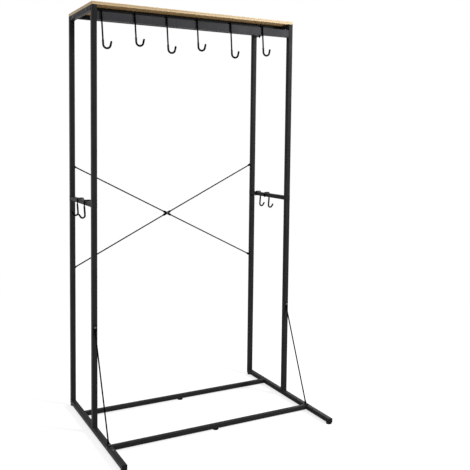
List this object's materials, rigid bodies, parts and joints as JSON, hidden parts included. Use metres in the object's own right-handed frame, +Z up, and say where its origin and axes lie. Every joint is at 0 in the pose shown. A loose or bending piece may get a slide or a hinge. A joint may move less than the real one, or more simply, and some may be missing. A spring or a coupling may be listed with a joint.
{
  "type": "bike rack",
  "caption": "Free-standing indoor bike rack: black tube frame on long floor rails, wooden top shelf, sliding hooks on a front rail and on the side bars, crossed rear braces.",
  "frame": {"origin": "on the floor, under the centre of the rack's bounding box", "axes": "+Z up, front of the rack towards -Y, +X to the right seen from the front"},
  "size_m": [1.197, 0.8654, 2.1],
  "materials": {
    "frame_steel": "satin black powder coat",
    "rail_steel": "dark grey powder coat",
    "hook_steel": "black coated steel rod",
    "sleeve_rubber": "matt black sleeve",
    "foot_plastic": "matt black",
    "bolt_steel": "black plated steel",
    "oak_board": "light oak laminate"
  },
  "bodies": {
    "frame": {"left_front_upright": "frame_steel", "left_front_upright_top": "frame_steel", "left_front_end_cap": "foot_plastic", "left_rear_upright": "frame_steel", "left_rear_upright_top": "frame_steel", "left_rear_end_cap": "foot_plastic", "left_top_side_bar": "frame_steel", "left_middle_side_bar": "frame_steel", "left_base_rail": "frame_steel", "left_foot_brace": "frame_steel", "left_foot_brace_upper_bolt": "bolt_steel", "left_foot_brace_lower_bolt": "bolt_steel", "right_front_upright": "frame_steel", "right_front_upright_top": "frame_steel", "right_front_end_cap": "foot_plastic", "right_rear_upright": "frame_steel", "right_rear_upright_top": "frame_steel", "right_rear_end_cap": "foot_plastic", "right_top_side_bar": "frame_steel", "right_middle_side_bar": "frame_steel", "right_base_rail": "frame_steel", "right_foot_brace": "frame_steel", "right_foot_brace_upper_bolt": "bolt_steel", "right_foot_brace_lower_bolt": "bolt_steel", "front_cross_bar": "frame_steel", "front_shelf_rail": "frame_steel", "rear_cross_bar": "frame_steel", "rear_shelf_rail": "frame_steel", "hook_rail": "rail_steel", "shelf_board": "oak_board", "falling_back_brace": "frame_steel", "falling_back_brace_left_bolt": "bolt_steel", "falling_back_brace_right_bolt": "bolt_steel", "rising_back_brace": "frame_steel", "rising_back_brace_left_bolt": "bolt_steel", "rising_back_brace_right_bolt": "bolt_steel", "brace_crossing_bolt": "bolt_steel"},
    "front_hook_1": {"front_hook_1": "hook_steel", "front_hook_1_sleeve": "sleeve_rubber"},
    "front_hook_2": {"front_hook_2": "hook_steel", "front_hook_2_sleeve": "sleeve_rubber"},
    "front_hook_3": {"front_hook_3": "hook_steel", "front_hook_3_sleeve": "sleeve_rubber"},
    "front_hook_4": {"front_hook_4": "hook_steel", "front_hook_4_sleeve": "sleeve_rubber"},
    "front_hook_5": {"front_hook_5": "hook_steel", "front_hook_5_sleeve": "sleeve_rubber"},
    "front_hook_6": {"front_hook_6": "hook_steel", "front_hook_6_sleeve": "sleeve_rubber"},
    "left_front_side_hook": {"left_front_side_hook": "hook_steel"},
    "left_rear_side_hook": {"left_rear_side_hook": "hook_steel"},
    "right_front_side_hook": {"right_front_side_hook": "hook_steel"},
    "right_rear_side_hook": {"right_rear_side_hook": "hook_steel"},
    "left_front_foot": {"left_front_foot": "foot_plastic"},
    "left_rear_foot": {"left_rear_foot": "foot_plastic"},
    "right_front_foot": {"right_front_foot": "foot_plastic"},
    "right_rear_foot": {"right_rear_foot": "foot_plastic"},
    "front_middle_foot": {"front_middle_foot": "foot_plastic"},
    "rear_middle_foot": {"rear_middle_foot": "foot_plastic"}
  },
  "joints": [
    {"name": "front_hook_1_slide", "type": "slide", "parent": "frame", "child": "front_hook_1", "axis": [1, 0, 0], "range_m": [-0.015, 0.05]},
    {"name": "front_hook_2_slide", "type": "slide", "parent": "frame", "child": "front_hook_2", "axis": [1, 0, 0], "range_m": [-0.05, 0.05]},
    {"name": "front_hook_3_slide", "type": "slide", "parent": "frame", "child": "front_hook_3", "axis": [1, 0, 0], "range_m": [-0.05, 0.05]},
    {"name": "front_hook_4_slide", "type": "slide", "parent": "frame", "child": "front_hook_4", "axis": [1, 0, 0], "range_m": [-0.05, 0.05]},
    {"name": "front_hook_5_slide", "type": "slide", "parent": "frame", "child": "front_hook_5", "axis": [1, 0, 0], "range_m": [-0.05, 0.05]},
    {"name": "front_hook_6_slide", "type": "slide", "parent": "frame", "child": "front_hook_6", "axis": [1, 0, 0], "range_m": [-0.05, 0.05]},
    {"name": "left_front_side_hook_slide", "type": "slide", "parent": "frame", "child": "left_front_side_hook", "axis": [0, 1, 0], "range_m": [-0.04, 0.04]},
    {"name": "left_rear_side_hook_slide", "type": "slide", "parent": "frame", "child": "left_rear_side_hook", "axis": [0, 1, 0], "range_m": [-0.04, 0.04]},
    {"name": "right_front_side_hook_slide", "type": "slide", "parent": "frame", "child": "right_front_side_hook", "axis": [0, 1, 0], "range_m": [-0.04, 0.04]},
    {"name": "right_rear_side_hook_slide", "type": "slide", "parent": "frame", "child": "right_rear_side_hook", "axis": [0, 1, 0], "range_m": [-0.04, 0.04]},
    {"name": "left_front_foot_turn", "type": "hinge", "parent": "frame", "child": "left_front_foot", "pos_m": [-0.552, -0.4177, 0], "axis": [0, 0, 1], "continuous": true},
    {"name": "left_rear_foot_turn", "type": "hinge", "parent": "frame", "child": "left_rear_foot", "pos_m": [-0.552, 0.4078, 0], "axis": [0, 0, 1], "continuous": true},
    {"name": "right_front_foot_turn", "type": "hinge", "parent": "frame", "child": "right_front_foot", "pos_m": [0.552, -0.4177, 0], "axis": [0, 0, 1], "continuous": true},
    {"name": "right_rear_foot_turn", "type": "hinge", "parent": "frame", "child": "right_rear_foot", "pos_m": [0.552, 0.4078, 0], "axis": [0, 0, 1], "continuous": true},
    {"name": "front_middle_foot_turn", "type": "hinge", "parent": "frame", "child": "front_middle_foot", "pos_m": [0, -0.2177, 0], "axis": [0, 0, 1], "continuous": true},
    {"name": "rear_middle_foot_turn", "type": "hinge", "parent": "frame", "child": "rear_middle_foot", "pos_m": [0, 0.2248, 0], "axis": [0, 0, 1], "continuous": true}
  ]
}
